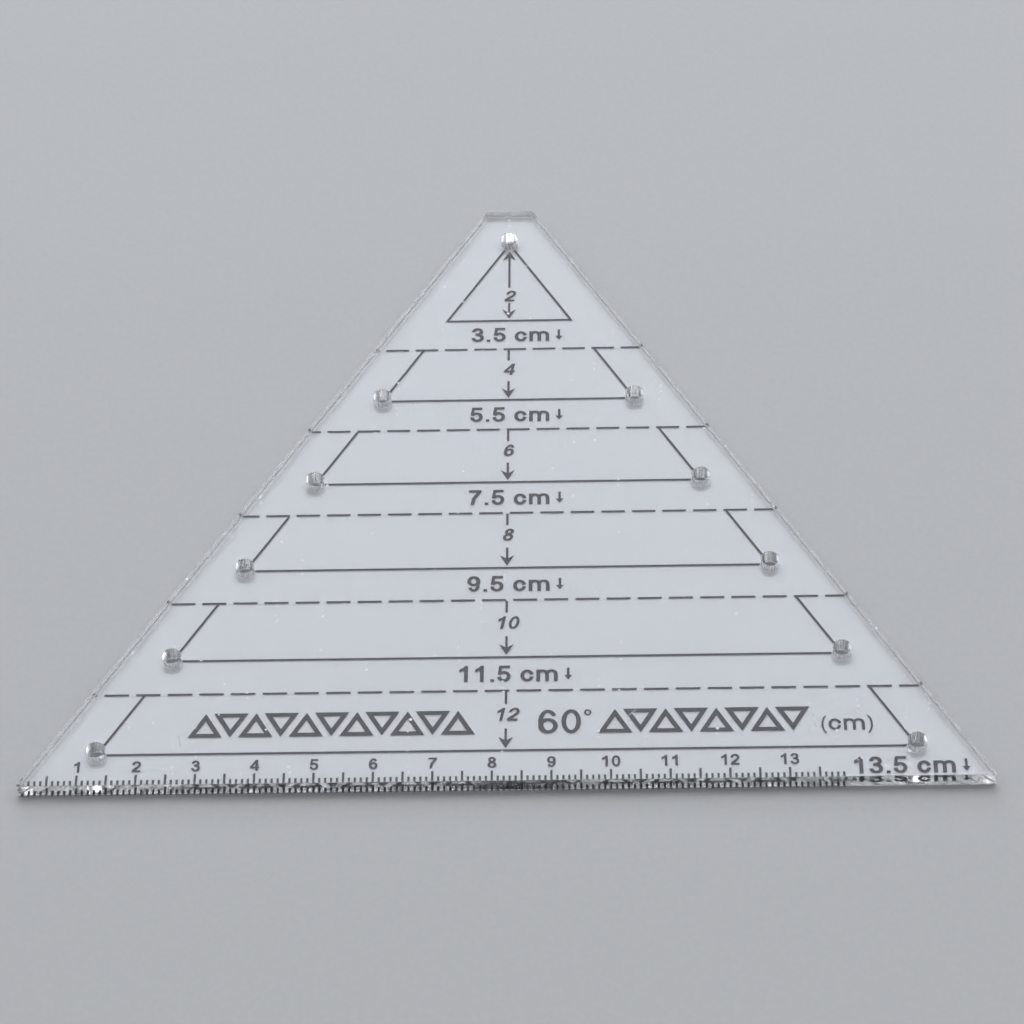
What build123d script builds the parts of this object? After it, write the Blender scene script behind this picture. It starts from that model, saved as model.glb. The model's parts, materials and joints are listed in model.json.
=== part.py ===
"""Equilateral quilting ruler: a clear acrylic plate with marking holes and marks inlaid in its underside.

The frame stands on the middle of the ruler's bounding box: X runs along the base edge, Y points from
the base edge to the tip, and Z = 0 is the underside that lies on the fabric. Millimetres throughout.
"""

import os
from functools import cache
from math import cos, radians, sin, tan

from build123d import *

# The plate and the patchwork geometry that it is cut and printed to.
APEX_ANGLE = 60.0  # angle at the tip, which the side edges and guides follow
THICKNESS = 2.8  # acrylic sheet sold as 3 mm
SEAM = 7.5  # seam allowance between the sewing lines and every edge
ROW_STEP = 20.0  # finished height added by each row
ROW_COUNT = 6
HOLE_DIAMETER = 3.2  # marking holes, for a pencil point
HOLE_MARGIN = 0.15  # bare rim between a hole and the lines that run to it
INK_DEPTH = 0.05  # depth of the marks in the underside

# Lines.
LINE_WIDTH = 0.42
DASH_LENGTH = 4.22
DASH_GAP = 1.22
DASH_START = 28.2  # where the top row's first dash starts, left of the centre line
DASH_SHIFT = 10.18  # how much further left each lower row starts
SHORTEST_MARK = 0.3  # anything shorter at an edge is left out

# Centimetre scale along the base edge.
SCALE_STEP = 1.0
SCALE_LENGTH = 139.0
LONG_EVERY = 5
NUMBER_EVERY = 10
TICK_WIDTH = 0.4
LONG_TICK = 3.3
SHORT_TICK = 2.2
SCALE_NUMBER_CAP = 2.25  # height of a figure
SCALE_NUMBER_GAP = 0.6  # between a long tick and the figure above it

# Height arrows and figures down the centre line, stacked up from each sewing line.
ARROW_LENGTH = 4.1
ARROW_HEAD_LENGTH = 2.35
ARROW_HEAD_WIDTH = 2.5
ARROW_NOTCH = 0.7  # how far the barbs reach back along the stem
ARROW_GAP = 0.3  # between an arrow's point and the line or hole it points to
FIGURE_CAP = 2.75
FIGURE_SLANT = 0.2  # sideways lean of the slanted figures for each unit of height
FIGURE_SHIFT = 0.25  # middle of a figure, right of the centre line
FIGURE_RISE = 1.64  # from an arrow's tail up to the foot of the figure
TOP_FIGURE_RISE = 0.39  # the same in the top triangle
FIGURE_CLEARANCE = 0.85  # above a figure, up to the end of the stem over it

# Cut-size labels, one above each cut line.
LABEL_CAP = 3.5
LABEL_RISE = 2.15  # from the cut line up to the foot of the label
LABEL_CENTRE = 0.35  # middle of the label, right of the centre line
LABEL_ARROW_LENGTH = 2.55
LABEL_ARROW_WIDTH = 1.35
LABEL_ARROW_HEAD = 0.95
LABEL_ARROW_STEM = 0.45
LABEL_ARROW_GAP = 0.75  # between the label and its arrow
BASE_LABEL_RISE = 1.75  # foot of the label of the whole ruler, above the base edge
BASE_LABEL_GAP = 1.3  # between the end of the scale and that label

# The band of plain marks above the lowest sewing line.
BAND_CAP = 5.05
BAND_RISE = 3.45  # from the lowest sewing line up to the foot of the band
BAND_CLEARANCE = 5.2  # from the centre line to the marks on either side
BAND_STROKE = 0.8
BAND_TRIANGLE_GAP = 1.2
BAND_LEFT_MARGIN = 8.0  # least bare length between the band and the guide line to its left
BAND_RIGHT_MARGIN = 2.5  # the same to its right
ANGLE_GAP = 0.85  # between the angle mark and the triangles to its right
UNIT_CAP = 3.3
UNIT_GAP = 1.6

# Figures, in units of their own height.
BOLD = 0.19
LIGHT = 0.16
THIN = 0.82  # thickness of level strokes over that of upright ones

half_tan = tan(radians(APEX_ANGLE / 2))
half_cos = cos(radians(APEX_ANGLE / 2))
half_sin = sin(radians(APEX_ANGLE / 2))
height = ROW_COUNT * ROW_STEP + 2 * SEAM
tip_half = SEAM / half_cos - SEAM * half_tan
base_half = tip_half + height * half_tan
hole_radius = HOLE_DIAMETER / 2
line_stop = hole_radius + HOLE_MARGIN
sewing_depths = [SEAM + ROW_STEP * (row + 1) for row in range(ROW_COUNT)]
cut_depths = [depth + SEAM for depth in sewing_depths]


def level(depth):
    """Y of a line that lies the given depth below the tip edge."""
    return height / 2 - depth


def guide_x(depth):
    """Half width of the sewing triangle, the given depth below the tip edge."""
    return (depth - SEAM) * half_tan


def edge_x(depth):
    """Half width of the plate, the given depth below the tip edge."""
    return tip_half + depth * half_tan


def plate_outline():
    """Points of the plate's outline, counterclockwise from its left base corner."""
    base_y = level(height)
    tip_y = level(0)
    return [(-base_half, base_y), (base_half, base_y), (tip_half, tip_y), (-tip_half, tip_y)]


def hole_centres():
    """The tip hole, then a pair at the ends of each sewing line from the second one down."""
    centres = [(0, level(SEAM))]
    for depth in sewing_depths[1:]:
        centres.append((-guide_x(depth), level(depth)))
        centres.append((guide_x(depth), level(depth)))
    return centres


# Figures and unit letters: one sketch each, one unit high, standing on Y = 0.


def ring(x, y, half_width, half_height, pen):
    """An elliptical ring about (x, y), a little thinner in its level strokes than in its upright ones."""
    with BuildSketch() as shape:
        with Locations((x, y)):
            Ellipse(half_width, half_height)
            Ellipse(half_width - pen, half_height - THIN * pen, mode=Mode.SUBTRACT)
    return shape.sketch


def figure_0(pen):
    return ring(0.39, 0.5, 0.33, 0.5, pen)


def figure_1(pen):
    right = 0.56
    left = right - pen
    flag = [(right - 0.8 * pen, 1), (0.3, 0.87), (0.13, 0.78), (0.13, 0.78 - pen), (left, 0.9 - 1.05 * pen)]
    with BuildSketch() as shape:
        Polygon((left, 0), (right, 0), (right, 1), *flag)
    return shape.sketch


def figure_2(pen):
    bar = THIN * pen
    turn = radians(35)
    outside = (0.39 + 0.33 * cos(turn), 0.69 - 0.31 * sin(turn))
    inside = (0.39 + (0.33 - pen) * cos(turn), 0.69 - (0.31 - bar) * sin(turn))
    with BuildSketch() as shape:
        add(ring(0.39, 0.69, 0.33, 0.31, pen))
        Polygon((-0.1, 0.64), (0.39, 0.69), (0.72, 0.46), (0.72, 0.2), (-0.1, 0.2), mode=Mode.SUBTRACT)
        Polygon((0.06, 0), (0.72, 0), (0.72, bar), (0.06, bar))
        Polygon((0.06, bar), (0.08 + 1.5 * pen, bar), outside, inside, (0.14, bar + 0.12))
    return shape.sketch


def figure_3(pen):
    bar = THIN * pen
    with BuildSketch() as shape:
        add(ring(0.38, 0.735, 0.3, 0.265, pen))
        add(ring(0.39, 0.29, 0.33, 0.29, pen))
        Polygon((-0.1, 0.26), (0.36, 0.32), (0.36, 0.7), (-0.1, 0.76), mode=Mode.SUBTRACT)
        Polygon((0.26, 0.455), (0.4, 0.455), (0.4, 0.455 + bar), (0.26, 0.455 + bar))
    return shape.sketch


def figure_4(pen):
    low = 0.21
    high = low + THIN * pen
    left = 0.45
    right = left + pen
    with BuildSketch() as shape:
        Polygon((left, 0), (right, 0), (right, low), (0.74, low), (0.74, high), (right, high), (right, 1),
                (left, 1), (0.03, high), (0.03, low), (left, low))
        Polygon((left, high), (left, 1 - 1.75 * pen), (0.03 + pen, high), mode=Mode.SUBTRACT)
    return shape.sketch


def figure_5(pen):
    bar = THIN * pen
    stem = 0.72 * pen
    with BuildSketch() as shape:
        add(ring(0.39, 0.33, 0.33, 0.33, pen))
        Polygon((-0.1, 0.28), (0.33, 0.33), (0.26, 0.5), (0.26, 0.8), (-0.1, 0.8), mode=Mode.SUBTRACT)
        Polygon((0.16, 1), (0.69, 1), (0.69, 1 - bar), (0.16 + stem, 1 - bar), (0.13 + stem, 0.61),
                (0.28, 0.63), (0.28, 0.42), (0.24, 0.43), (0.08, 0.455))
    return shape.sketch


def figure_6(pen):
    with BuildSketch() as shape:
        add(figure_0(pen))
        Polygon((0.39, -0.1), (0.8, -0.1), (0.8, 0.8), (0.5, 0.72), (0.39, 0.72), mode=Mode.SUBTRACT)
        add(ring(0.39, 0.32, 0.33, 0.32, pen))
    return shape.sketch


def figure_7(pen):
    bar = THIN * pen
    with BuildSketch() as shape:
        Polygon((0.07, 1), (0.71, 1), (0.71, 1 - bar), (0.42, 0.42), (0.34, 0), (0.34 - pen, 0),
                (0.42 - pen, 0.46), (0.69 - 1.08 * pen, 1 - bar), (0.07, 1 - bar))
    return shape.sketch


def figure_8(pen):
    with BuildSketch() as shape:
        add(ring(0.39, 0.745, 0.29, 0.255, pen))
        add(ring(0.39, 0.285, 0.33, 0.285, pen))
    return shape.sketch


def figure_9(pen):
    with BuildSketch() as shape:
        with Locations((0.78, 1)):
            add(figure_6(pen), rotation=180)
    return shape.sketch


def decimal_point(pen):
    with BuildSketch() as shape:
        with Locations((0.1, 0)):
            Rectangle(pen, THIN * pen, align=(Align.MIN, Align.MIN))
    return shape.sketch


def letter_c(pen):
    with BuildSketch() as shape:
        add(ring(0.37, 0.365, 0.33, 0.365, pen))
        Polygon((0.37, 0.365), (0.8, 0.48), (0.8, 0.25), mode=Mode.SUBTRACT)
    return shape.sketch


def letter_m(pen):
    spring = 0.44
    half = 0.31
    left = 0.08
    with BuildSketch() as shape:
        for middle in (left + half, left + 3 * half - pen):
            add(ring(middle, spring, half, 0.29, pen))
            with Locations((middle, 0)):
                Rectangle(2 * half, spring, align=(Align.CENTER, Align.MIN), mode=Mode.SUBTRACT)
        for index in range(3):
            with Locations((left + index * (2 * half - pen), 0)):
                Rectangle(pen, spring if index else 0.72, align=(Align.MIN, Align.MIN))
    return shape.sketch


def degree_sign(pen):
    return ring(0.17, 0.87, 0.125, 0.125, 0.4 * pen)


def bracket(pen):
    with BuildSketch() as shape:
        add(ring(0.44, 0.36, 0.36, 0.62, 0.62 * pen))
        with Locations((0.33, 0.36)):
            Rectangle(2, 2, align=(Align.MIN, Align.CENTER), mode=Mode.SUBTRACT)
    return shape.sketch


def closing_bracket(pen):
    with BuildSketch() as shape:
        with Locations((0.41, 0.72)):
            add(bracket(pen), rotation=180)
    return shape.sketch


# Each glyph with its width, the space after it included.
GLYPHS = {
    "0": (figure_0, 0.78),
    "1": (figure_1, 0.78),
    "2": (figure_2, 0.78),
    "3": (figure_3, 0.78),
    "4": (figure_4, 0.78),
    "5": (figure_5, 0.78),
    "6": (figure_6, 0.78),
    "7": (figure_7, 0.78),
    "8": (figure_8, 0.78),
    "9": (figure_9, 0.78),
    ".": (decimal_point, 0.38),
    "c": (letter_c, 0.74),
    "m": (letter_m, 1.24),
    "°": (degree_sign, 0.34),
    "(": (bracket, 0.4),
    ")": (closing_bracket, 0.4),
}
SPACE = 0.38


def text_width(text, cap):
    """Length of a written text whose figures are cap high."""
    return cap * sum(SPACE if letter == " " else GLYPHS[letter][1] for letter in text)


@cache
def glyph(letter, cap, pen, slant):
    """One glyph with its figures cap high, leaning to the right by slant for each unit of height."""
    shape = GLYPHS[letter][0](pen)
    if slant:
        shape = shape.transform_geometry(Matrix([[1, slant, 0, 0], [0, 1, 0, 0], [0, 0, 1, 0]]))
    return scale(shape, by=cap, about=(0, 0, 0), mode=Mode.PRIVATE)


def write(text, cap, x, y, pen, slant=0.0):
    """A sketch of the text, starting at x on the level y, with its figures cap high."""
    placed = []
    for letter in text:
        if letter != " ":
            placed.append(glyph(letter, cap, pen, slant).moved(Location((x, y))))
        x += text_width(letter, cap)
    with BuildSketch() as line:
        add(placed)
    return line.sketch


def write_centred(text, cap, x, y, pen, slant=0.0):
    """The same with its middle at x, half way up a slanted text."""
    start = x - (text_width(text, cap) + slant * cap) / 2
    return write(text, cap, start, y, pen, slant)


def centimetres(length):
    """A length in plain centimetres, such as 3.5 or 12."""
    return f"{length / 10:.4g}"


def arrow(x, y, length, direction, head_length, head_width, stem_width, notch):
    """A straight arrow with its point at (x, y) and its tail the given length behind."""
    half_stem = stem_width / 2
    half_head = head_width / 2
    side = [(0, 0), (half_head, head_length), (half_stem, head_length - notch), (half_stem, length)]
    points = side + [(-across, along) for across, along in reversed(side[1:])]
    with BuildSketch() as shape:
        Polygon([(x + across, y - direction * along) for across, along in points])
    return shape.sketch


def size_label(text, x, y):
    """A cut size with the small arrow that points down to its line."""
    arrow_x = x + text_width(text, LABEL_CAP) + LABEL_ARROW_GAP + LABEL_ARROW_WIDTH / 2
    arrow_y = y + (LABEL_CAP - LABEL_ARROW_LENGTH) / 3
    with BuildSketch() as label:
        add(write(text, LABEL_CAP, x, y, BOLD))
        add(arrow(arrow_x, arrow_y, LABEL_ARROW_LENGTH, -1, LABEL_ARROW_HEAD, LABEL_ARROW_WIDTH,
                  LABEL_ARROW_STEM, 0))
    return label.sketch


def guide(side, top, bottom):
    """One sloping guide line, level at its top, cut off short of the hole at its lower end."""
    half_line = LINE_WIDTH / half_cos / 2
    with BuildSketch() as line:
        Polygon(
            (side * (guide_x(top) - half_line), level(top)),
            (side * (guide_x(top) + half_line), level(top)),
            (side * (guide_x(bottom) + half_line), level(bottom)),
            (side * (guide_x(bottom) - half_line), level(bottom)),
        )
        with Locations((side * guide_x(bottom), level(bottom))):
            Circle(line_stop, mode=Mode.SUBTRACT)
    return line.sketch


strip_half_side = BAND_CAP * half_tan
strip_pitch = strip_half_side + BAND_TRIANGLE_GAP / half_cos


def strip_count(room):
    """How many triangles of a strip fit in the given length."""
    return int((room - 2 * strip_half_side) / strip_pitch) + 1


def strip_length(count):
    """Length of a row of such triangles."""
    return 2 * strip_half_side + (count - 1) * strip_pitch


def strip_triangles(left, foot, count):
    """Triangle outlines in a row, by turns upright and upside down, as they are cut from a strip."""
    inset = BAND_STROKE / half_cos + BAND_STROKE * half_tan
    places = []
    for index in range(count):
        turned = index % 2
        x = left + strip_half_side + index * strip_pitch
        places.append(Location((x, foot + turned * BAND_CAP), turned * 180))
    with BuildSketch() as strip:
        with Locations(*places):
            Polygon((-strip_half_side, 0), (strip_half_side, 0), (0, BAND_CAP))
            Polygon(
                (-strip_half_side + inset, BAND_STROKE),
                (strip_half_side - inset, BAND_STROKE),
                (0, BAND_CAP - BAND_STROKE / half_sin),
                mode=Mode.SUBTRACT,
            )
    return strip.sketch


marks = {}


def inlay(name, *shapes):
    """Keep the sketches as one inlaid mark, a node of its own, trimmed at the plate's edges."""
    with BuildPart() as mark:
        with BuildSketch(Plane.XY):
            add(shapes)
            Polygon(plate_outline(), mode=Mode.INTERSECT)
        extrude(amount=INK_DEPTH)
    mark.part.label = name
    marks[name] = mark.part


# Top row: the smallest sewing triangle, whose point is the tip hole.
with BuildSketch() as smallest_triangle:
    top_depth = sewing_depths[0]
    for reach, mode in ((LINE_WIDTH / 2, Mode.ADD), (-LINE_WIDTH / 2, Mode.SUBTRACT)):
        base_depth = top_depth + reach
        point_depth = SEAM - reach / half_sin
        half_base = (base_depth - point_depth) * half_tan
        Polygon((-half_base, level(base_depth)), (half_base, level(base_depth)), (0, level(point_depth)),
                mode=mode)
    with Locations((0, level(SEAM))):
        Circle(line_stop, mode=Mode.SUBTRACT)
inlay("row_1_sewing_triangle", smallest_triangle.sketch)

# Lower rows: a sewing line between each pair of holes, with a guide up to the cut line above.
for row, depth in enumerate(sewing_depths[1:], start=2):
    above = cut_depths[row - 2]
    with BuildSketch() as sewing_line:
        with Locations((0, level(depth))):
            Rectangle(2 * (guide_x(depth) - line_stop), LINE_WIDTH)
    inlay(f"row_{row}_sewing_line", sewing_line.sketch)
    inlay(f"row_{row}_side_guides", guide(-1, above, depth), guide(1, above, depth))

# Dashed cut lines, each with its lower side on the cut size.
dash_pitch = DASH_LENGTH + DASH_GAP
for row, depth in enumerate(cut_depths[:-1], start=1):
    start = -(DASH_START + (row - 1) * DASH_SHIFT)
    while start > -edge_x(depth):
        start -= dash_pitch
    dashes = []
    while start < edge_x(depth) - SHORTEST_MARK:
        if start + DASH_LENGTH > SHORTEST_MARK - edge_x(depth):
            dashes.append((start, level(depth)))
        start += dash_pitch
    with BuildSketch() as cut_line:
        with Locations(*dashes):
            Rectangle(DASH_LENGTH, LINE_WIDTH, align=(Align.MIN, Align.MIN))
    inlay(f"row_{row}_cut_line", cut_line.sketch)

# Height arrows and slanted figures down the centre line. The stem over a figure fills what is left.
arrow_head = (ARROW_HEAD_LENGTH, ARROW_HEAD_WIDTH, LINE_WIDTH, ARROW_NOTCH)
for row, depth in enumerate(sewing_depths, start=1):
    point_y = level(depth) + LINE_WIDTH / 2 + ARROW_GAP
    foot = point_y + ARROW_LENGTH + (TOP_FIGURE_RISE if row == 1 else FIGURE_RISE)
    stem_end = foot + FIGURE_CAP + FIGURE_CLEARANCE
    down = arrow(0, point_y, ARROW_LENGTH, -1, *arrow_head)
    if row == 1:
        hole_edge = level(SEAM) - hole_radius - ARROW_GAP
        upper = arrow(0, hole_edge, hole_edge - stem_end, 1, *arrow_head)
    else:
        cut_y = level(cut_depths[row - 2])
        with BuildSketch() as stub:
            with Locations((0, cut_y)):
                Rectangle(LINE_WIDTH, cut_y - stem_end, align=(Align.CENTER, Align.MAX))
        upper = stub.sketch
    figure = write_centred(centimetres(depth - SEAM), FIGURE_CAP, FIGURE_SHIFT, foot, BOLD, FIGURE_SLANT)
    inlay(f"row_{row}_height_arrow", upper, down)
    inlay(f"row_{row}_height_figure", figure)

# Cut sizes, each just above its cut line, and the whole ruler's at the end of the scale.
for row, depth in enumerate(cut_depths, start=1):
    text = centimetres(depth) + " cm"
    if row < ROW_COUNT:
        start = LABEL_CENTRE - text_width(text, LABEL_CAP) / 2
        foot = level(depth - LABEL_RISE)
    else:
        start = SCALE_LENGTH - base_half + BASE_LABEL_GAP
        foot = level(depth - BASE_LABEL_RISE)
    inlay(f"row_{row}_cut_size", size_label(text, start, foot))

# Centimetre scale along the base edge, from the left corner.
tick_count = round(SCALE_LENGTH / SCALE_STEP)
long_ticks = [tick for tick in range(1, tick_count + 1) if tick % LONG_EVERY == 0]
short_ticks = [tick for tick in range(1, tick_count + 1) if tick % LONG_EVERY]
for name, ticks, tick_length in (("long", long_ticks, LONG_TICK), ("short", short_ticks, SHORT_TICK)):
    with BuildSketch() as graduations:
        with Locations(*[(tick * SCALE_STEP - base_half, level(height)) for tick in ticks]):
            Rectangle(TICK_WIDTH, tick_length, align=(Align.CENTER, Align.MIN))
    inlay(f"{name}_graduations", graduations.sketch)

number_foot = level(height - LONG_TICK - SCALE_NUMBER_GAP)
numbers = []
for tick in range(NUMBER_EVERY, tick_count + 1, NUMBER_EVERY):
    tick_x = tick * SCALE_STEP - base_half
    number = centimetres(tick * SCALE_STEP)
    numbers.append(write_centred(number, SCALE_NUMBER_CAP, tick_x, number_foot, BOLD))
inlay("scale_numbers", *numbers)

# The band above the lowest sewing line: triangles from a strip, the tip angle and the unit.
band_depth = sewing_depths[-1] - BAND_RISE
band_foot = level(band_depth)
left_room = guide_x(band_depth - BAND_CAP) - BAND_LEFT_MARGIN - BAND_CLEARANCE
left_count = strip_count(left_room)
left_start = -BAND_CLEARANCE - strip_length(left_count)
angle_text = f"{APEX_ANGLE:.4g}°"
right_start = BAND_CLEARANCE + text_width(angle_text, BAND_CAP) + ANGLE_GAP
unit_text = "(cm)"
unit_room = UNIT_GAP + text_width(unit_text, UNIT_CAP) + BAND_RIGHT_MARGIN
right_count = strip_count(guide_x(band_depth - UNIT_CAP) - unit_room - right_start)
unit_start = right_start + strip_length(right_count) + UNIT_GAP
inlay("left_strip_triangles", strip_triangles(left_start, band_foot, left_count))
inlay("angle_mark", write(angle_text, BAND_CAP, BAND_CLEARANCE, band_foot, LIGHT))
inlay("right_strip_triangles", strip_triangles(right_start, band_foot, right_count))
inlay("unit_mark", write(unit_text, UNIT_CAP, unit_start, band_foot, LIGHT))

# The plate, with its holes right through and a shallow pocket for every mark.
with BuildPart() as acrylic_plate:
    with BuildSketch(Plane.XY):
        Polygon(plate_outline())
        with Locations(*hole_centres()):
            Circle(hole_radius, mode=Mode.SUBTRACT)
    extrude(amount=THICKNESS)
    add(marks.values(), mode=Mode.SUBTRACT)
acrylic_plate.part.label = "acrylic_plate"

os.makedirs("parts", exist_ok=True)
export_step(acrylic_plate.part, "parts/acrylic_plate.step")
for name, mark in marks.items():
    export_step(mark, f"parts/{name}.step")
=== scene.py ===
"""Visual model of the clear quilting ruler: a polished acrylic plate over its inlaid marks.

All sizes are in metres, in the frame of the CAD model: X along the base edge, Y from the base edge to
the tip, Z up, with the underside on Z = 0.
"""

import json
from math import cos, pi, radians, sin

import bpy
import numpy as np
from mathutils import Matrix, Vector
from mathutils.geometry import tessellate_polygon


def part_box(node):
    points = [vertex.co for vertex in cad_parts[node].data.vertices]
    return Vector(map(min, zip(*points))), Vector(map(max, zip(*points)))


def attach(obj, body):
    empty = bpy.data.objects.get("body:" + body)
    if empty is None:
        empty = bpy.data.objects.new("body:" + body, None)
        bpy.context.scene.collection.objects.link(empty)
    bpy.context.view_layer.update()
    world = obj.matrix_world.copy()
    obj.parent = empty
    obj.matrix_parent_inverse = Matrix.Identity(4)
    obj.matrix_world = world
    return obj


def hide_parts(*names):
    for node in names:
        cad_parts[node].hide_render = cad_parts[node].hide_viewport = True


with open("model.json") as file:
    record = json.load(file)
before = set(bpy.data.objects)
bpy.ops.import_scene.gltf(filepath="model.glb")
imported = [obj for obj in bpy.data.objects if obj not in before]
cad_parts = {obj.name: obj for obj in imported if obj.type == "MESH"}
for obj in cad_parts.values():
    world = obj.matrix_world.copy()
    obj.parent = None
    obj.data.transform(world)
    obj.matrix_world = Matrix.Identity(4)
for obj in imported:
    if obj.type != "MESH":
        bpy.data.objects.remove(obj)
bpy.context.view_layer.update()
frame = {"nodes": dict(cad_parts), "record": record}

bl_info = {
    "name": "Quilting Ruler",
    "version": (1, 0, 0),
    "blender": (4, 5, 0),
    "location": "3D View > Sidebar > Quilting Ruler",
    "description": "Builds a clear triangular quilting ruler with inlaid marks, and a studio for it",
    "category": "Add Mesh",
}

PLATE_NODE = "acrylic_plate"
MARK_NODES = sorted(name for name in frame["nodes"] if name != PLATE_NODE)
MM = 0.001

# Points of the CAD plate this near to its base edge or its tip edge lie on that edge.
SAME_EDGE = 0.001 * MM

# A face counts as level more and more as its normal's upward part goes from the first to the second.
LEVEL_FROM, LEVEL_TO = 0.9, 0.99

# A speck fades out over this share of the largest reach.
SPECK_SOFTNESS = 0.25

# Specks of dust: cells in a metre, the share of cells that stay clean, the reach of the largest speck
# in cells, and how pale a speck is.
DUST_PITCH = 250.0
DUST_RARITY = 0.55
DUST_REACH = 0.085
DUST_PALENESS = 0.8

# Hairline scratches: turn in radians and cells in a metre of each set, and the same values as for dust.
# The last three are how many times longer than wide they are, how much roughness they add, and their
# depth as a share of the cutter's deepest marks.
SCRATCH_SETS = ((0.4, 110.0), (-0.75, 95.0), (1.5, 125.0))
SCRATCH_RARITY = 0.8
SCRATCH_REACH = 0.016
SCRATCH_PALENESS = 0.4
SCRATCH_STRETCH = 9.0
SCRATCH_ROUGHNESS = 0.12
SCRATCH_DEPTH = 0.25

# Roughness that smudges, frost and the cut walls add to that of the polished faces.
SMUDGE_ROUGHNESS = 0.03
FROST_ROUGHNESS = 0.3
WALL_ROUGHNESS = 0.13

# The cutter's marks: height is scaled by the first before their noise reads it, which draws them out
# upwards. Their streaks make a wall more or less milky, and so more or less bright with painted highlight,
# by the second.
CUTTER_SQUASH = 0.06
CUTTER_STREAKS = 0.28

# Shares of the fine grain and of the wide clouds in how thin the ink is.
INK_GRAIN = 0.45
INK_CLOUDS = 0.55

# How far the board's colour varies to either side of its own.
BOARD_MOTTLE = 0.015

# Half the floor's side, the camera's sensor and clipping distances, and how often light may bounce.
FLOOR_HALF_SIDE = 6.0
SENSOR_WIDTH_IN_MM = 36.0
NEAREST_SEEN = 0.01
FARTHEST_SEEN = 50.0
LIGHT_BOUNCES = 48


# Sizes and finishes.


class PlateSettings(bpy.types.PropertyGroup):
    """Shape and cut finish of the clear plate's edges."""

    top_break: bpy.props.FloatProperty(
        name="Top Break", description="Radius of the polished arris round the outside of the top",
        default=0.12 * MM, min=0.01 * MM, max=0.5 * MM, precision=5, unit="LENGTH",
    )
    bottom_break: bpy.props.FloatProperty(
        name="Bottom Break", description="Radius of the milky arris round the outside of the underside",
        default=0.3 * MM, min=0.01 * MM, max=0.5 * MM, precision=5, unit="LENGTH",
    )
    corner_radius: bpy.props.FloatProperty(
        name="Corner Radius", description="Radius of the plate's four corners in plan",
        default=0.36 * MM, min=0.02 * MM, max=2 * MM, precision=5, unit="LENGTH",
    )
    hole_break: bpy.props.FloatProperty(
        name="Hole Break", description="Radius of the arris at both ends of each marking hole",
        default=0.12 * MM, min=0.01 * MM, max=0.5 * MM, precision=5, unit="LENGTH",
    )
    top_frost: bpy.props.FloatProperty(
        name="Top Frost", description="How milky the arris round the top is",
        default=0.25, min=0, max=1, subtype="FACTOR",
    )
    # The underside arris's milkiness is partly the cut's real frost, partly painted highlight: its white
    # stands in for the bright line of light along the cut edges.
    bottom_frost: bpy.props.FloatProperty(
        name="Bottom Frost", description="How milky the arris round the underside is",
        default=1.0, min=0, max=1, subtype="FACTOR",
    )
    # The holes' milky walls are partly real frost, partly painted highlight that stands in for light
    # leaving the sheet through them.
    hole_frost: bpy.props.FloatProperty(
        name="Hole Frost", description="How milky the walls of the marking holes are",
        default=0.4, min=0, max=1, subtype="FACTOR",
    )
    wall_ripple: bpy.props.FloatProperty(
        name="Wall Ripple", description="How strongly the cutter's upright marks show round the outside",
        default=0.06, min=0, max=1, subtype="FACTOR",
    )
    hole_ripple: bpy.props.FloatProperty(
        name="Hole Ripple", description="How strongly the cutter's upright marks show in the marking holes",
        default=1.0, min=0, max=1, subtype="FACTOR",
    )
    print_relief: bpy.props.FloatProperty(
        name="Print Relief", description="How far the marks stand out of the underside",
        default=0.008 * MM, min=0.001 * MM, max=0.04 * MM, precision=6, unit="LENGTH",
    )
    arris_steps: bpy.props.IntProperty(
        name="Arris Steps", description="Faces across each rounded arris", default=4, min=1, max=16,
    )
    hole_steps: bpy.props.IntProperty(
        name="Hole Steps", description="Faces round each marking hole", default=96, min=12, max=256,
    )


class AcrylicSettings(bpy.types.PropertyGroup):
    """Finish of the clear acrylic."""

    tint: bpy.props.FloatVectorProperty(
        name="Tint", description="Colour that the sheet's two faces give to what is behind them",
        default=(0.985, 0.99, 1.0), min=0, max=1, subtype="COLOR",
    )
    depth_tint: bpy.props.FloatVectorProperty(
        name="Depth Tint", description="Colour that shows where light runs a long way through the sheet",
        default=(0.78, 0.88, 0.96), min=0, max=1, subtype="COLOR",
    )
    depth_density: bpy.props.FloatProperty(
        name="Depth Density", description="How fast that colour builds up, for each metre",
        default=2.5, min=0, max=200,
    )
    roughness: bpy.props.FloatProperty(
        name="Roughness", description="Roughness of the polished faces", default=0.02, min=0, max=1,
        subtype="FACTOR",
    )
    # Shared by dust and scratches, and by the milky edges, where this white is partly painted highlight.
    milky_colour: bpy.props.FloatVectorProperty(
        name="Milky Colour", description="Colour of dust, of scratches and of frosted edges",
        default=(0.92, 0.93, 0.95), min=0, max=1, subtype="COLOR",
    )
    refraction: bpy.props.FloatProperty(
        name="Refractive Index", description="Refractive index of acrylic", default=1.49, min=1, max=2,
    )
    dust: bpy.props.FloatProperty(
        name="Dust", description="How strongly dust and fine scratches show", default=1.0, min=0, max=1,
        subtype="FACTOR",
    )


class InkSettings(bpy.types.PropertyGroup):
    """Finish of the inlaid marks."""

    colour: bpy.props.FloatVectorProperty(
        name="Ink Colour", description="Colour of the marks", default=(0.016, 0.017, 0.02), min=0, max=1,
        subtype="COLOR",
    )
    thin_colour: bpy.props.FloatVectorProperty(
        name="Thin Ink Colour", description="Colour of the marks where the ink is thin",
        default=(0.04, 0.042, 0.047), min=0, max=1, subtype="COLOR",
    )


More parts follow.
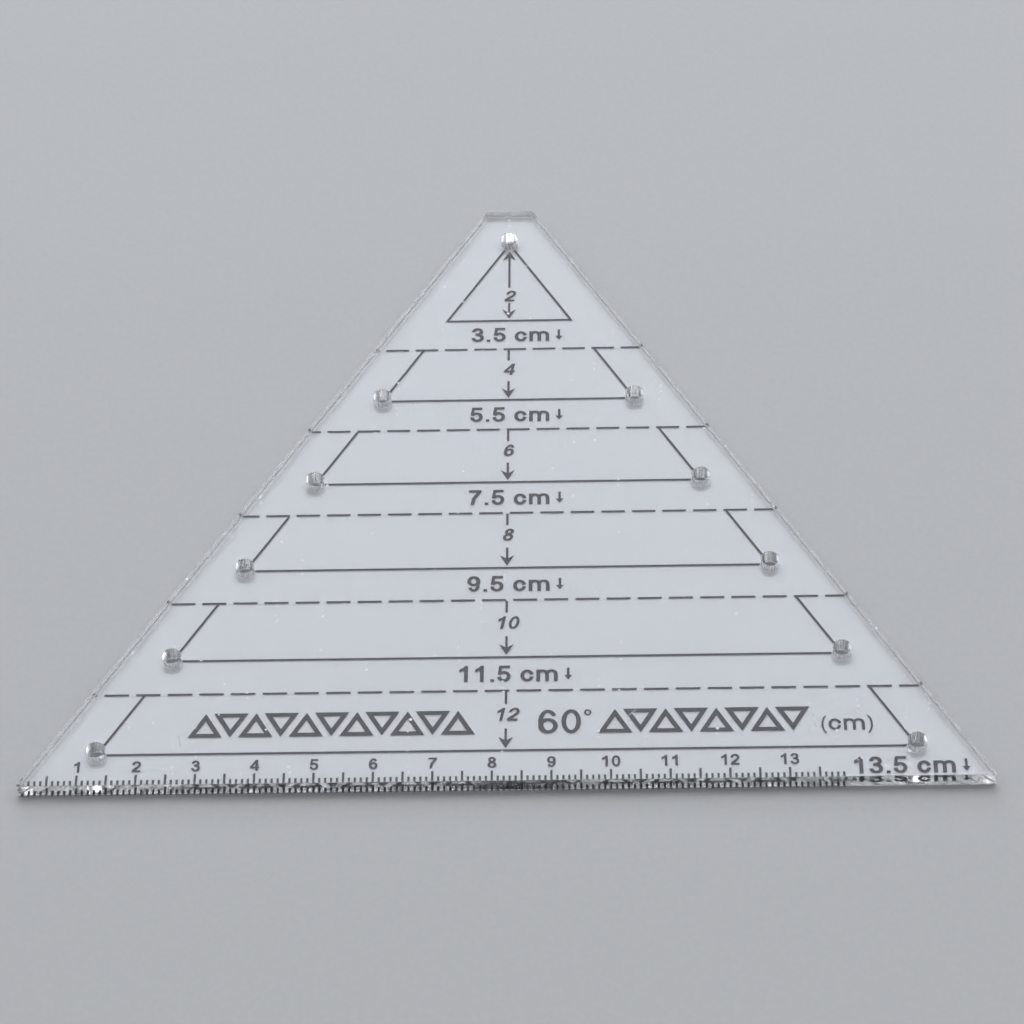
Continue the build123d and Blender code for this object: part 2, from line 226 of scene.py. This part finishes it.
class StudioSettings(bpy.types.PropertyGroup):
    """Floor, lamps and camera."""

    floor_colour: bpy.props.FloatVectorProperty(
        name="Floor Colour", description="Colour of the floor", default=(0.48, 0.49, 0.505), min=0, max=1,
        subtype="COLOR",
    )
    floor_drop: bpy.props.FloatProperty(
        name="Floor Drop", description="Air between the floor and the ruler's underside",
        default=0.15 * MM, min=0, max=5 * MM, precision=5, unit="LENGTH",
    )
    horizon_light: bpy.props.FloatProperty(
        name="Horizon Light", description="Brightness of the room low down", default=0.15, min=0, max=2,
    )
    zenith_light: bpy.props.FloatProperty(
        name="Zenith Light", description="Brightness of the room overhead", default=0.45, min=0, max=2,
    )
    room_colour: bpy.props.FloatVectorProperty(
        name="Room Colour", description="Colour of the room's light", default=(0.97, 0.985, 1.0), min=0,
        max=1, subtype="COLOR",
    )
    back_light: bpy.props.FloatProperty(
        name="Back Light", description="Radiance of the lamp behind the ruler", default=2.1, min=0, max=20,
    )
    back_colour: bpy.props.FloatVectorProperty(
        name="Back Colour", description="Colour of the lamp behind the ruler", default=(0.93, 0.97, 1.06),
        min=0, max=2, subtype="COLOR",
    )
    top_light: bpy.props.FloatProperty(
        name="Top Light", description="Radiance of the lamp over the ruler", default=2.6, min=0, max=20,
    )
    low_light: bpy.props.FloatProperty(
        name="Low Light", description="Radiance of the lower lamp behind the ruler", default=2.8, min=0,
        max=20,
    )
    side_light: bpy.props.FloatProperty(
        name="Side Light", description="Radiance of the lamps to the left and right", default=2.5, min=0,
        max=20,
    )
    lamp_colour: bpy.props.FloatVectorProperty(
        name="Lamp Colour", description="Colour of every lamp but the one behind the ruler",
        default=(1.0, 1.0, 1.0), min=0, max=2, subtype="COLOR",
    )
    camera_azimuth: bpy.props.FloatProperty(
        name="Camera Azimuth", description="Turn of the camera round the ruler", default=radians(2.175),
        subtype="ANGLE",
    )
    camera_elevation: bpy.props.FloatProperty(
        name="Camera Elevation", description="Height of the camera above the floor, as an angle",
        default=radians(49.37), subtype="ANGLE",
    )
    camera_roll: bpy.props.FloatProperty(
        name="Camera Roll", description="Turn of the camera about its own line of sight",
        default=radians(-2.458), subtype="ANGLE",
    )
    camera_distance: bpy.props.FloatProperty(
        name="Camera Distance", description="From the camera to the point it looks at",
        default=636.8 * MM, min=0.1, max=10, unit="LENGTH",
    )
    camera_target: bpy.props.FloatVectorProperty(
        name="Camera Target", description="Point that the camera looks at",
        default=(0.77 * MM, -6.17 * MM, 0.13 * MM), precision=5, subtype="TRANSLATION",
    )
    camera_lens: bpy.props.FloatProperty(
        name="Camera Lens", description="Focal length in millimetres on a 36 mm sensor",
        default=125.22, min=10, max=500,
    )


# The plate's shape.


def arris_profile(low_radius, high_radius, low, high, steps):
    """Inset, height and normal up the side of the plate, as four arrays.

    From the underside a quarter circle of the low radius runs out to the side, and from the side one
    of the high radius runs in to the top: inset = radius (1 - sin a), rise = radius (1 - cos a) for a
    from 0 to 90 degrees, then the same mirrored for the top. The third and fourth arrays are the
    parts of the normal that point outwards and up.
    """
    turn = np.linspace(0, pi / 2, steps + 1)
    inset = 1 - np.sin(turn)
    rise = 1 - np.cos(turn)
    inset = np.concatenate([low_radius * inset, high_radius * inset[::-1]])
    height = np.concatenate([low + low_radius * rise, high - high_radius * rise[::-1]])
    outward = np.concatenate([np.sin(turn), np.sin(turn)[::-1]])
    upward = np.concatenate([-np.cos(turn), np.cos(turn)[::-1]])
    return inset, height, outward, upward


def rounded_corners(corners, radius, steps):
    """Arc centres and outward normals round a convex outline whose corners are rounded.

    At each corner the normal swings evenly from that of the side before to that of the side after,
    about a centre that lies the radius inside both sides. A point of the outline is the centre plus
    the normal times the radius.
    """
    corners = np.asarray(corners, dtype=float)
    along = np.roll(corners, -1, axis=0) - corners
    along /= np.linalg.norm(along, axis=1, keepdims=True)
    after = np.stack([along[:, 1], -along[:, 0]], axis=1)
    before = np.roll(after, 1, axis=0)
    start = np.arctan2(before[:, 1], before[:, 0])
    swing = np.arctan2(
        before[:, 0] * after[:, 1] - before[:, 1] * after[:, 0], (before * after).sum(axis=1)
    )
    bisector = before + after
    bisector /= (bisector * before).sum(axis=1, keepdims=True)
    centres = corners - radius * bisector
    turn = start[:, None] + swing[:, None] * np.linspace(0, 1, steps + 1)
    normals = np.stack([np.cos(turn), np.sin(turn)], axis=2)
    centres = np.repeat(centres[:, None, :], steps + 1, axis=1)
    return centres.reshape(-1, 2), normals.reshape(-1, 2)


def carried_profile(centres, normals, radius, profile):
    """A profile carried round a closed path: grids of points and of normals, one row for each path point.

    Point = path centre + normal times (radius - inset), at the profile's height.
    """
    inset, height, outward, upward = profile
    count = len(centres)
    reach = (radius - inset)[None, :, None]
    plan = centres[:, None, :] + normals[:, None, :] * reach
    points = np.concatenate([plan, np.broadcast_to(height[None, :, None], (count, len(height), 1))], axis=2)
    facing = np.concatenate(
        [
            normals[:, None, :] * outward[None, :, None],
            np.broadcast_to(upward[None, :, None], (count, len(height), 1)),
        ],
        axis=2,
    )
    return points, facing


def cut_frost(facing, low_arris, high_arris, wall):
    """How milky each point of a carried profile is, from the grid of its normals: partly the cut's real
    frost, partly painted highlight that stands in for the bright line of light along the cut edges.

    Milkiness = arris times the lesser of 1 and 2 sin 2a, or wall sin^2 a if that is more, where a is
    the angle between the normal and the upright, so the flat faces stay clear. The low arris is the
    one whose normals point down.
    """
    upward = facing[:, :, 2]
    outward = np.sqrt(np.clip(1 - upward**2, 0, 1))
    arris = np.where(upward < 0, low_arris, high_arris)
    return np.maximum(arris * np.minimum(1, 4 * np.abs(upward) * outward), wall * outward**2).ravel()


def cut_ripple(facing, wall):
    """How strongly the cutter's marks show at each point of a carried profile: wall sin^4 a."""
    return (wall * (1 - facing[:, :, 2] ** 2) ** 2).ravel()


def wall_faces(rows, columns, first, inward):
    """Quads of a grid that is closed along its rows, as an array of vertex numbers."""
    row, column = np.meshgrid(np.arange(rows), np.arange(columns - 1), indexing="ij")
    after = (row + 1) % rows
    corners = [row * columns + column, after * columns + column,
               after * columns + column + 1, row * columns + column + 1]
    quads = np.stack(corners, axis=2).reshape(-1, 4) + first
    return quads[:, ::-1] if inward else quads


def plate_corners(node):
    """Plan of the plate's four corners, counterclockwise, from the CAD node's own points."""
    points = np.empty(len(node.data.vertices) * 3)
    node.data.vertices.foreach_get("co", points)
    points = points.reshape(-1, 3)
    low_y = points[:, 1].min()
    high_y = points[:, 1].max()
    base = points[points[:, 1] < low_y + SAME_EDGE, 0]
    tip = points[points[:, 1] > high_y - SAME_EDGE, 0]
    return [(base.min(), low_y), (base.max(), low_y), (tip.max(), high_y), (tip.min(), high_y)]


def marking_holes(record):
    """Centre and radius of every marking hole, from the record's bores."""
    return [
        (mount["pos_m"][0], mount["pos_m"][1], mount["dims"]["r_mm"] * MM)
        for mount in record["mounts"]
        if mount["kind"] == "bore"
    ]


def flat_face(vertices, loops, side):
    """Triangles of a flat face with holes, between the given loops; side is 1 where it faces up."""
    numbers = np.concatenate(loops)
    found = tessellate_polygon([[Vector(vertices[i]) for i in loop] for loop in loops])
    triangles = numbers[np.array(found)]
    a, b, c = (vertices[triangles[:, i], :2] for i in range(3))
    turn = (b[:, 0] - a[:, 0]) * (c[:, 1] - a[:, 1]) - (b[:, 1] - a[:, 1]) * (c[:, 0] - a[:, 0])
    wrong = turn * side < 0
    triangles[wrong] = triangles[wrong][:, ::-1]
    return triangles


def plate_walls(settings):
    """Grids of points and normals for the plate's upright faces, each with True if it lines a hole.

    The outside is a rounded-arris profile carried round the outline, and each hole is the same kind
    of profile carried round a circle, turned about so that it faces the hole's axis.
    """
    low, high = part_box(PLATE_NODE)
    underside_z = low[2] + settings.print_relief
    top_z = high[2]
    steps = settings.arris_steps
    corners = plate_corners(frame["nodes"][PLATE_NODE])
    centres, normals = rounded_corners(corners, settings.corner_radius, 2 * steps)
    profile = arris_profile(settings.bottom_break, settings.top_break, underside_z, top_z, steps)
    walls = [(*carried_profile(centres, normals, settings.corner_radius, profile), False)]

    turn = np.linspace(0, 2 * pi, settings.hole_steps, endpoint=False)
    normals = np.stack([np.cos(turn), np.sin(turn)], axis=1)
    inset, height, outward, upward = arris_profile(
        settings.hole_break, settings.hole_break, underside_z, top_z, steps
    )
    profile = (-inset, height, -outward, upward)
    for x, y, radius in marking_holes(frame["record"]):
        centres = np.broadcast_to((x, y), normals.shape)
        walls.append((*carried_profile(centres, normals, radius, profile), True))
    return walls


def build_plate(settings):
    """The clear plate as one closed mesh: its walls, and two flat faces that close it above and below."""
    walls = plate_walls(settings)
    first = 0
    quads = []
    frost_and_highlight = []
    ripple = []
    bottom_loops = []
    top_loops = []
    for points, facing, inward in walls:
        rows, columns = points.shape[:2]
        # Hole walls get milky frost that is partly painted highlight; the outside wall gets none.
        wall_frost_and_highlight = settings.hole_frost if inward else 0.0
        wall_ripple = settings.hole_ripple if inward else settings.wall_ripple
        quads.append(wall_faces(rows, columns, first, inward))
        frost_and_highlight.append(cut_frost(facing, settings.bottom_frost, settings.top_frost, wall_frost_and_highlight))
        ripple.append(cut_ripple(facing, wall_ripple))
        bottom_loops.append(first + np.arange(rows) * columns)
        top_loops.append(first + np.arange(rows) * columns + columns - 1)
        first += rows * columns
    vertices = np.concatenate([points.reshape(-1, 3) for points, _, _ in walls])
    facing = np.concatenate([grid.reshape(-1, 3) for _, grid, _ in walls])
    triangles = np.concatenate([flat_face(vertices, top_loops, 1), flat_face(vertices, bottom_loops, -1)])

    mesh = bpy.data.meshes.new("clear_plate")
    mesh.from_pydata(vertices, [], np.concatenate(quads).tolist() + triangles.tolist())
    mesh.update()
    mesh.polygons.foreach_set("use_smooth", np.ones(len(mesh.polygons), dtype=bool))
    mesh.normals_split_custom_set_from_vertices(facing)
    mesh.validate()
    for name, values in (("cut_frost", frost_and_highlight), ("cut_ripple", ripple)):
        attribute = mesh.attributes.new(name, "FLOAT", "POINT")
        attribute.data.foreach_set("value", np.concatenate(values))
    return mesh


# Materials.


class Nodes:
    """Short way to add linked nodes to one material or world."""

    def __init__(self, tree):
        self.tree = tree
        tree.nodes.clear()

    def add(self, kind, settings=None, **inputs):
        """A new node; settings are its own properties, inputs are values or sockets by name."""
        node = self.tree.nodes.new(kind)
        for key, value in (settings or {}).items():
            setattr(node, key, value)
        for key, value in inputs.items():
            self.set(node, key.replace("_", " "), value)
        return node

    def set(self, node, name, value):
        """Give an input a value, or link it to a socket."""
        socket = node.inputs[int(name)] if name.isdigit() else node.inputs[name]
        if isinstance(value, bpy.types.NodeSocket):
            self.tree.links.new(value, socket)
        else:
            socket.default_value = value

    def maths(self, operation, *values):
        """A Math node's result."""
        node = self.tree.nodes.new("ShaderNodeMath")
        node.operation = operation
        for index, value in enumerate(values):
            self.set(node, str(index), value)
        return node.outputs[0]

    def ramp(self, value, low, high, low_to=0.0, high_to=1.0):
        """A value carried from one range to another, smoothly and clamped."""
        node = self.add("ShaderNodeMapRange", {"interpolation_type": "SMOOTHSTEP"})
        self.set(node, "Value", value)
        self.set(node, "From Min", low)
        self.set(node, "From Max", high)
        self.set(node, "To Min", low_to)
        self.set(node, "To Max", high_to)
        return node.outputs["Result"]

    def mix_colour(self, share, first, second):
        """Two colours mixed by a share; the Mix node's colours are its inputs 6 and 7 and output 2."""
        node = self.add("ShaderNodeMix", {"data_type": "RGBA"})
        self.set(node, "Factor", share)
        self.set(node, "6", first)
        self.set(node, "7", second)
        return node.outputs[2]

    def mix_shader(self, share, first, second):
        """Two shaders mixed by a share."""
        node = self.tree.nodes.new("ShaderNodeMixShader")
        self.set(node, "0", share)
        self.set(node, "1", first)
        self.set(node, "2", second)
        return node.outputs[0]


def new_material(name):
    """A material with an empty node tree, and its node helper."""
    material = bpy.data.materials.new(name)
    material.use_nodes = True
    return material, Nodes(material.node_tree)


def colour(values):
    """A colour property as the four numbers that a socket takes."""
    return (*values, 1.0)


def speckles(nodes, place, turn, stretch, pitch, rarity, reach):
    """Scattered specks in plan, 1 inside and 0 outside, drawn out along one direction.

    pitch is how many cells there are in a metre across the specks. Each cell has one speck at most: its
    chance number has to pass the rarity, and the speck grows to the given reach as that goes to 1.
    """
    turned = nodes.add("ShaderNodeMapping", {"vector_type": "TEXTURE"}, Vector=place)
    turned.inputs["Rotation"].default_value = (0, 0, turn)
    turned.inputs["Scale"].default_value = (1, stretch, 1)
    cells = nodes.add("ShaderNodeTexVoronoi", {"feature": "F1", "voronoi_dimensions": "2D"},
                      Vector=turned.outputs[0], Scale=pitch, Randomness=1.0)
    chance = nodes.add("ShaderNodeSeparateColor", Color=cells.outputs["Color"])
    size = nodes.ramp(chance.outputs[0], rarity, 1.0, 0.0, reach)
    inside = nodes.maths("SUBTRACT", size, cells.outputs["Distance"])
    return nodes.ramp(inside, 0.0, SPECK_SOFTNESS * reach)


def acrylic_material(settings):
    """Polished clear acrylic with fine dust, hairline scratches, smudges and milky cut edges, whose white
    is partly painted highlight along the edges.
    """
    material, nodes = new_material("clear_acrylic")
    place = nodes.add("ShaderNodeTexCoord").outputs["Object"]
    geometry = nodes.add("ShaderNodeNewGeometry")
    facing = nodes.add("ShaderNodeSeparateXYZ", Vector=geometry.outputs["Normal"])
    level = nodes.ramp(nodes.maths("ABSOLUTE", facing.outputs["Z"]), LEVEL_FROM, LEVEL_TO)
    frost_and_highlight = nodes.add("ShaderNodeAttribute", {"attribute_name": "cut_frost"}).outputs["Fac"]
    rippled = nodes.add("ShaderNodeAttribute", {"attribute_name": "cut_ripple"}).outputs["Fac"]

    # Dust lies as small round specks of uneven size, scratches as long thin ones in three directions.
    dust = speckles(nodes, place, 0.0, 1.0, DUST_PITCH, DUST_RARITY, DUST_REACH)
    scratches = 0.0
    for turn, pitch in SCRATCH_SETS:
        scratch = speckles(nodes, place, turn, SCRATCH_STRETCH, pitch, SCRATCH_RARITY, SCRATCH_REACH)
        scratches = nodes.maths("MAXIMUM", scratches, scratch)

    # Smudges and scratches dull the polish a little, and frost and the cutter dull the edges.
    smudge = nodes.add("ShaderNodeTexNoise", Vector=place, Scale=24.0, Detail=4.0, Roughness=0.6)
    smudges = nodes.maths("MULTIPLY", nodes.ramp(smudge.outputs["Fac"], 0.45, 0.75), level)
    scored = nodes.maths("MULTIPLY", scratches, level)
    upright = nodes.maths("SUBTRACT", 1.0, level)
    polish = nodes.maths("MULTIPLY_ADD", smudges, SMUDGE_ROUGHNESS, settings.roughness)
    polish = nodes.maths("MULTIPLY_ADD", scored, SCRATCH_ROUGHNESS, polish)
    polish = nodes.maths("MULTIPLY_ADD", frost_and_highlight, FROST_ROUGHNESS, polish)
    polish = nodes.maths("MULTIPLY_ADD", upright, WALL_ROUGHNESS, polish)

    # Fine upright ripples that the cutter leaves on the edges.
    stretched = nodes.add("ShaderNodeMapping", Vector=place)
    stretched.inputs["Scale"].default_value = (1, 1, CUTTER_SQUASH)
    ripple = nodes.add("ShaderNodeTexNoise", Vector=stretched.outputs[0], Scale=2600.0, Detail=2.0)
    height = nodes.maths("MULTIPLY", ripple.outputs["Fac"], rippled)
    height = nodes.maths("SUBTRACT", height, nodes.maths("MULTIPLY", scratches, SCRATCH_DEPTH))
    bump = nodes.add("ShaderNodeBump", Height=height, Strength=0.35, Distance=0.003 * MM)

    shader = nodes.add("ShaderNodeBsdfPrincipled", Roughness=polish, Normal=bump.outputs[0])
    shader.inputs["Base Color"].default_value = colour(settings.tint)
    shader.inputs["IOR"].default_value = settings.refraction
    shader.inputs["Transmission Weight"].default_value = 1.0

    # Dust and the scratches' pale bottoms show on the top, frost in upright streaks on the cut walls; that
    # frost's white is partly painted highlight, standing in for the bright light along the cut edges.
    above = nodes.ramp(facing.outputs["Z"], LEVEL_FROM, LEVEL_TO)
    pale_dust = nodes.maths("MULTIPLY", dust, DUST_PALENESS)
    pale_scratches = nodes.maths("MULTIPLY", scratches, SCRATCH_PALENESS)
    marred = nodes.maths("MULTIPLY", nodes.maths("MAXIMUM", pale_dust, pale_scratches), above)
    dusty = nodes.maths("MULTIPLY", marred, settings.dust)
    streaks = nodes.ramp(ripple.outputs["Fac"], 0.35, 0.65, -CUTTER_STREAKS, CUTTER_STREAKS)
    milky_and_highlight = nodes.maths("MULTIPLY_ADD", streaks, rippled, frost_and_highlight)
    lint_and_highlight = nodes.add("ShaderNodeBsdfDiffuse", Color=colour(settings.milky_colour))
    surface = nodes.mix_shader(nodes.maths("MAXIMUM", dusty, milky_and_highlight), shader.outputs[0], lint_and_highlight.outputs[0])

    # Light that runs a long way through the sheet picks up its body colour.
    deep = nodes.add("ShaderNodeVolumeAbsorption")
    deep.inputs["Color"].default_value = colour(settings.depth_tint)
    deep.inputs["Density"].default_value = settings.depth_density
    nodes.add("ShaderNodeOutputMaterial", Surface=surface, Volume=deep.outputs[0])
    return material


def ink_material(settings):
    """Matt charcoal ink, a little uneven, and paler where it is thin."""
    material, nodes = new_material("charcoal_ink")
    place = nodes.add("ShaderNodeTexCoord").outputs["Object"]
    cloud = nodes.add("ShaderNodeTexNoise", Vector=place, Scale=420.0, Detail=4.0, Roughness=0.65)
    grain = nodes.add("ShaderNodeTexNoise", Vector=place, Scale=5200.0, Detail=2.0, Roughness=0.6)
    clouds = nodes.maths("MULTIPLY", cloud.outputs["Fac"], INK_CLOUDS)
    uneven = nodes.maths("MULTIPLY_ADD", grain.outputs["Fac"], INK_GRAIN, clouds)
    thinness = nodes.ramp(uneven, 0.42, 0.62)
    tone = nodes.mix_colour(thinness, colour(settings.colour), colour(settings.thin_colour))
    bump = nodes.add("ShaderNodeBump", Height=grain.outputs["Fac"], Strength=0.2, Distance=0.01 * MM)
    rough = nodes.ramp(grain.outputs["Fac"], 0.3, 0.7, 0.5, 0.7)
    shader = nodes.add(
        "ShaderNodeBsdfPrincipled", Base_Color=tone, Roughness=rough, Normal=bump.outputs[0]
    )
    shader.inputs["Specular IOR Level"].default_value = 0.1
    nodes.add("ShaderNodeOutputMaterial", Surface=shader.outputs[0])
    return material


def floor_material(settings):
    """Plain matt board, very slightly mottled."""
    material, nodes = new_material("pale_board")
    place = nodes.add("ShaderNodeTexCoord").outputs["Object"]
    fibre = nodes.add("ShaderNodeTexNoise", Vector=place, Scale=900.0, Detail=3.0, Roughness=0.6)
    darker = colour([part * (1 - BOARD_MOTTLE) for part in settings.floor_colour])
    lighter = colour([part * (1 + BOARD_MOTTLE) for part in settings.floor_colour])
    tone = nodes.mix_colour(nodes.ramp(fibre.outputs["Fac"], 0.3, 0.7), darker, lighter)
    shader = nodes.add("ShaderNodeBsdfPrincipled", Base_Color=tone, Roughness=0.9)
    shader.inputs["Specular IOR Level"].default_value = 0.1
    nodes.add("ShaderNodeOutputMaterial", Surface=shader.outputs[0])
    return material


# The steps of the build.


class RULER_OT_shape_plate(bpy.types.Operator):
    """Build the polished clear plate with its marking holes"""

    bl_idname = "ruler.shape_plate"
    bl_label = "Shape Clear Plate"

    def execute(self, context):
        scene = context.scene
        plate = bpy.data.objects.new("clear_plate", build_plate(scene.ruler_plate))
        scene.collection.objects.link(plate)
        plate.data.materials.append(acrylic_material(scene.ruler_acrylic))
        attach(plate, "root")
        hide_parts(PLATE_NODE)
        return {"FINISHED"}


class RULER_OT_ink_marks(bpy.types.Operator):
    """Give every inlaid line, graduation and figure its ink"""

    bl_idname = "ruler.ink_marks"
    bl_label = "Ink Marks"

    def execute(self, context):
        ink = ink_material(context.scene.ruler_ink)
        for name in MARK_NODES:
            slots = frame["nodes"][name].data.materials
            slots.clear()
            slots.append(ink)
        return {"FINISHED"}


class RULER_OT_set_studio(bpy.types.Operator):
    """Set out the floor, the lamps and the camera"""

    bl_idname = "ruler.set_studio"
    bl_label = "Set Studio"

    def execute(self, context):
        scene = context.scene
        settings = scene.ruler_studio
        self.lay_floor(scene, settings)
        self.light_room(scene, settings)
        self.place_camera(scene, settings)
        scene.view_settings.view_transform = "Standard"
        # Light runs far along inside the plate before it leaves at a cut edge.
        scene.cycles.max_bounces = LIGHT_BOUNCES
        scene.cycles.glossy_bounces = LIGHT_BOUNCES
        scene.cycles.transmission_bounces = LIGHT_BOUNCES
        # The plate stays clear for light on its way to the floor, which is too dark under it otherwise.
        scene.cycles.blur_glossy = 0.0
        return {"FINISHED"}

    def lay_floor(self, scene, settings):
        """A wide flat square just under the ruler."""
        half = FLOOR_HALF_SIDE
        z = -settings.floor_drop
        corners = [(-half, -half, z), (half, -half, z), (half, half, z), (-half, half, z)]
        mesh = bpy.data.meshes.new("floor")
        mesh.from_pydata(corners, [], [(0, 1, 2, 3)])
        floor = bpy.data.objects.new("floor", mesh)
        scene.collection.objects.link(floor)
        mesh.materials.append(floor_material(settings))

    def light_room(self, scene, settings):
        """A room that brightens towards its ceiling, and five soft lamps that face the ruler's middle."""
        world = bpy.data.worlds.new("studio_room")
        world.use_nodes = True
        scene.world = world
        nodes = Nodes(world.node_tree)
        direction = nodes.add("ShaderNodeTexCoord").outputs["Generated"]
        upward = nodes.add("ShaderNodeSeparateXYZ", Vector=direction).outputs["Z"]
        strength = nodes.ramp(upward, 0.0, 1.0, settings.horizon_light, settings.zenith_light)
        background = nodes.add("ShaderNodeBackground", Strength=strength)
        background.inputs["Color"].default_value = colour(settings.room_colour)
        nodes.add("ShaderNodeOutputWorld", Surface=background.outputs[0])
        back = (settings.back_light, settings.back_colour)
        top = (settings.top_light, settings.lamp_colour)
        low = (settings.low_light, settings.lamp_colour)
        side = (settings.side_light, settings.lamp_colour)
        lamps = (
            ("back_softbox", (0.0, 0.95, 1.1), (1.0, 0.75), back),
            ("top_softbox", (0.1, 0.45, 1.35), (1.0, 0.45), top),
            ("low_softbox", (-0.3, 1.25, 0.66), (0.9, 0.4), low),
            ("left_softbox", (-0.85, 0.49, 1.13), (0.8, 0.55), side),
            ("right_softbox", (0.85, 0.49, 1.13), (0.8, 0.55), side),
        )
        for name, place, (width, depth), (radiance, lamp_colour) in lamps:
            data = bpy.data.lights.new(name, "AREA")
            data.shape = "RECTANGLE"
            data.size = width
            data.size_y = depth
            # An area lamp's power is its radiance times pi times its area.
            data.energy = radiance * pi * width * depth
            data.color = lamp_colour
            lamp = bpy.data.objects.new(name, data)
            scene.collection.objects.link(lamp)
            lamp.location = place
            lamp.rotation_mode = "QUATERNION"
            lamp.rotation_quaternion = (-Vector(place)).to_track_quat("-Z", "Y")

    def place_camera(self, scene, settings):
        """A long lens that looks down on the ruler from in front."""
        azimuth = settings.camera_azimuth
        elevation = settings.camera_elevation
        roll = settings.camera_roll
        back = Vector((sin(azimuth) * cos(elevation), -cos(azimuth) * cos(elevation), sin(elevation)))
        level = (-back).cross(Vector((0, 0, 1))).normalized()
        raised = level.cross(-back)
        right = cos(roll) * level + sin(roll) * raised
        up = -sin(roll) * level + cos(roll) * raised
        data = bpy.data.cameras.new("camera")
        data.sensor_width = SENSOR_WIDTH_IN_MM
        data.lens = settings.camera_lens
        data.clip_start = NEAREST_SEEN
        data.clip_end = FARTHEST_SEEN
        camera = bpy.data.objects.new("camera", data)
        scene.collection.objects.link(camera)
        place = Vector(settings.camera_target) + settings.camera_distance * back
        turn = Matrix((right, up, back)).transposed().to_4x4()
        camera.matrix_world = Matrix.Translation(place) @ turn
        scene.camera = camera


class RULER_PT_panel(bpy.types.Panel):
    """Lists the steps of the build and their settings"""

    bl_idname = "RULER_PT_panel"
    bl_label = "Quilting Ruler"
    bl_space_type = "VIEW_3D"
    bl_region_type = "UI"
    bl_category = "Quilting Ruler"

    def draw(self, context):
        layout = self.layout
        for operator, group in STEPS:
            box = layout.box()
            settings = getattr(context.scene, group)
            for key in settings.bl_rna.properties.keys():
                if key not in ("rna_type", "name"):
                    box.prop(settings, key)
            if operator is not None:
                box.operator(operator.bl_idname)


STEPS = (
    (None, "ruler_acrylic"),
    (RULER_OT_shape_plate, "ruler_plate"),
    (RULER_OT_ink_marks, "ruler_ink"),
    (RULER_OT_set_studio, "ruler_studio"),
)
SETTINGS = {
    "ruler_plate": PlateSettings,
    "ruler_acrylic": AcrylicSettings,
    "ruler_ink": InkSettings,
    "ruler_studio": StudioSettings,
}
CLASSES = (
    *SETTINGS.values(),
    RULER_OT_shape_plate,
    RULER_OT_ink_marks,
    RULER_OT_set_studio,
    RULER_PT_panel,
)


def register():
    """Register the classes and hang their settings on the scene."""
    for cls in CLASSES:
        bpy.utils.register_class(cls)
    for name, group in SETTINGS.items():
        setattr(bpy.types.Scene, name, bpy.props.PointerProperty(type=group))


def unregister():
    """Undo register."""
    for name in SETTINGS:
        delattr(bpy.types.Scene, name)
    for cls in reversed(CLASSES):
        bpy.utils.unregister_class(cls)


def main():
    """Build the ruler and its studio."""
    register()
    bpy.ops.ruler.shape_plate()
    bpy.ops.ruler.ink_marks()
    bpy.ops.ruler.set_studio()


if __name__ == "__main__":
    main()
